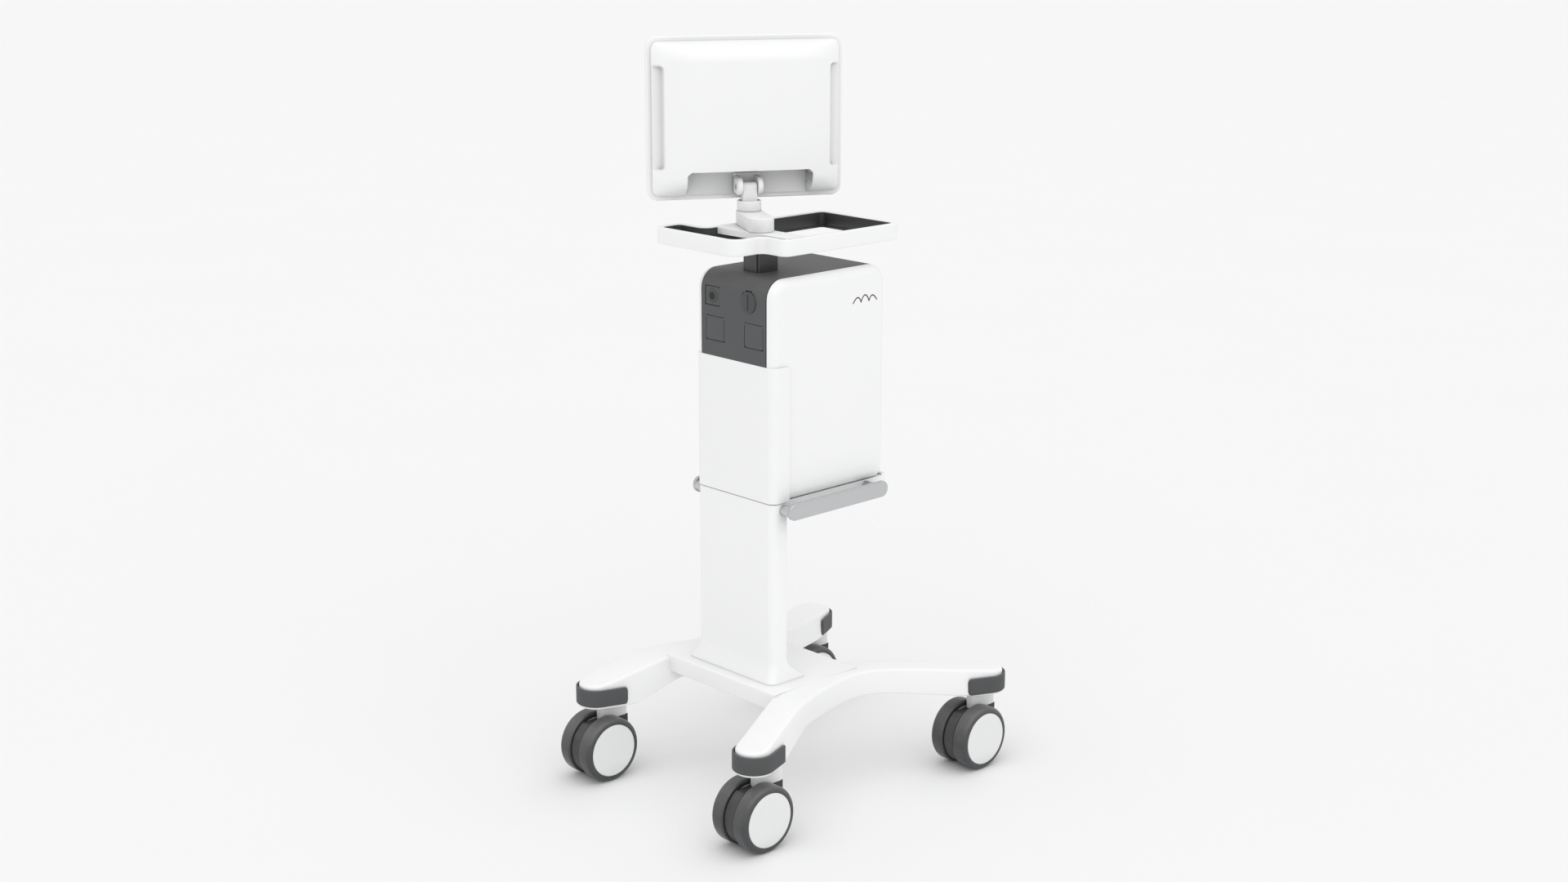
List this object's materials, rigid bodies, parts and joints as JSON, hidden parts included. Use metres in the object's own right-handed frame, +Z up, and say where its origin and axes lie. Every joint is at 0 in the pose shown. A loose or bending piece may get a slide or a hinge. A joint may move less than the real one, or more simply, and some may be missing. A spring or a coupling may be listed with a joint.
{
  "type": "mechanical ventilator",
  "caption": "Mechanical ventilator on a caster cart: boxy case on a column, accessory rails, ring tray and a swinging, tilting monitor.",
  "frame": {"origin": "on the floor, at the middle of the cart's footprint", "axes": "+Z up, -Y towards the ventilator's front, +Y towards the column and the connector panel, X across the cart"},
  "size_m": [0.5574, 0.6996, 1.404],
  "materials": {
    "white_plastic": "fine-textured moulded plastic",
    "grey_plastic": "fine-textured moulded plastic",
    "dark_plastic": "matte moulded plastic",
    "coated_casting": "cast, white powder coat",
    "soft_bumper": "matte elastomer",
    "rail_metal": "anodised, satin",
    "steel": "plain, bright",
    "coated_steel": "powder coat",
    "tyre": "smooth tread",
    "wheel_cap": "semi-gloss moulded plastic",
    "inner_plastic": "plain moulding",
    "cell_pack": "wrapped pack",
    "circuit": "laminate",
    "screen_glass": "polished",
    "screen_panel": "dark panel"
  },
  "bodies": {
    "cart": {"caster_stems": "steel", "side_member_left": "coated_casting", "side_member_right": "coated_casting", "leg_bumpers": "soft_bumper", "centre_plate": "coated_casting", "column_core": "coated_steel", "column_lower_cover": "white_plastic", "column_upper_cover": "white_plastic", "support_shelf": "white_plastic", "rails": "rail_metal", "rail_pegs": "rail_metal", "side_shell_left": "white_plastic", "side_shell_right": "white_plastic", "centre_cover": "grey_plastic", "front_panel": "grey_plastic", "patient_ports": "white_plastic", "flap_pins": "steel", "socket_plate": "dark_plastic", "connector_board": "inner_plastic", "chassis": "inner_plastic", "blower": "inner_plastic", "gas_manifold": "inner_plastic", "battery": "cell_pack", "power_supply": "inner_plastic", "mainboard": "circuit", "post": "dark_plastic", "tray_rim": "white_plastic", "tray_liner": "dark_plastic", "tray_platform": "white_plastic"},
    "swivel_rear_left": {"caster_rear_left_horn": "white_plastic", "caster_rear_left_web": "dark_plastic"},
    "wheels_rear_left": {"caster_rear_left_axle": "steel", "caster_rear_left_tyres": "tyre", "caster_rear_left_caps": "wheel_cap"},
    "swivel_rear_right": {"caster_rear_right_horn": "white_plastic", "caster_rear_right_web": "dark_plastic"},
    "wheels_rear_right": {"caster_rear_right_axle": "steel", "caster_rear_right_tyres": "tyre", "caster_rear_right_caps": "wheel_cap"},
    "swivel_front_left": {"caster_front_left_horn": "white_plastic", "caster_front_left_web": "dark_plastic"},
    "wheels_front_left": {"caster_front_left_axle": "steel", "caster_front_left_tyres": "tyre", "caster_front_left_caps": "wheel_cap"},
    "swivel_front_right": {"caster_front_right_horn": "white_plastic", "caster_front_right_web": "dark_plastic"},
    "wheels_front_right": {"caster_front_right_axle": "steel", "caster_front_right_tyres": "tyre", "caster_front_right_caps": "wheel_cap"},
    "arm": {"arm": "white_plastic"},
    "neck": {"neck": "white_plastic"},
    "monitor": {"monitor_shell": "white_plastic", "monitor_bezel": "white_plastic", "monitor_glass": "screen_glass", "display_panel": "screen_panel", "hinge_bracket": "grey_plastic", "hinge_pin": "steel"},
    "flap_left": {"flap_left": "grey_plastic"},
    "flap_right": {"flap_right": "grey_plastic"},
    "lock": {"lock_disc": "dark_plastic"}
  },
  "joints": [
    {"name": "swivel_rear_left", "type": "hinge", "parent": "cart", "child": "swivel_rear_left", "pos_m": [-0.218, 0.253, 0.12], "axis": [0, 0, 1], "continuous": true},
    {"name": "roll_rear_left", "type": "hinge", "parent": "swivel_rear_left", "child": "wheels_rear_left", "pos_m": [-0.218, 0.287, 0.0625], "axis": [1, 0, 0], "continuous": true},
    {"name": "swivel_rear_right", "type": "hinge", "parent": "cart", "child": "swivel_rear_right", "pos_m": [0.218, 0.253, 0.12], "axis": [0, 0, 1], "continuous": true},
    {"name": "roll_rear_right", "type": "hinge", "parent": "swivel_rear_right", "child": "wheels_rear_right", "pos_m": [0.218, 0.287, 0.0625], "axis": [1, 0, 0], "continuous": true},
    {"name": "swivel_front_left", "type": "hinge", "parent": "cart", "child": "swivel_front_left", "pos_m": [-0.232, -0.3085, 0.12], "axis": [0, 0, 1], "continuous": true},
    {"name": "roll_front_left", "type": "hinge", "parent": "swivel_front_left", "child": "wheels_front_left", "pos_m": [-0.232, -0.2745, 0.0625], "axis": [1, 0, 0], "continuous": true},
    {"name": "swivel_front_right", "type": "hinge", "parent": "cart", "child": "swivel_front_right", "pos_m": [0.232, -0.3085, 0.12], "axis": [0, 0, 1], "continuous": true},
    {"name": "roll_front_right", "type": "hinge", "parent": "swivel_front_right", "child": "wheels_front_right", "pos_m": [0.232, -0.2745, 0.0625], "axis": [1, 0, 0], "continuous": true},
    {"name": "arm_swing", "type": "hinge", "parent": "cart", "child": "arm", "pos_m": [0, 0.064, 1.062], "axis": [0, 0, 1], "range_deg": [-150, 45]},
    {"name": "neck_swivel", "type": "hinge", "parent": "arm", "child": "neck", "pos_m": [0.07382, 0.02392, 1.087], "axis": [0, 0, 1], "range_deg": [-90, 90]},
    {"name": "monitor_tilt", "type": "hinge", "parent": "neck", "child": "monitor", "pos_m": [0.07382, 0.02392, 1.131], "axis": [0.4772, 0.8788, 0], "range_deg": [-25, 8]},
    {"name": "flap_left_hinge", "type": "hinge", "parent": "cart", "child": "flap_left", "pos_m": [-0.054, 0.1305, 0.9045], "axis": [1, 0, 0], "range_deg": [0, 100]},
    {"name": "flap_right_hinge", "type": "hinge", "parent": "cart", "child": "flap_right", "pos_m": [0.049, 0.1305, 0.9045], "axis": [1, 0, 0], "range_deg": [0, 100]},
    {"name": "lock_turn", "type": "hinge", "parent": "cart", "child": "lock", "pos_m": [-0.04, 0.125, 0.9445], "axis": [0, 1, 0], "range_deg": [0, 90]}
  ]
}
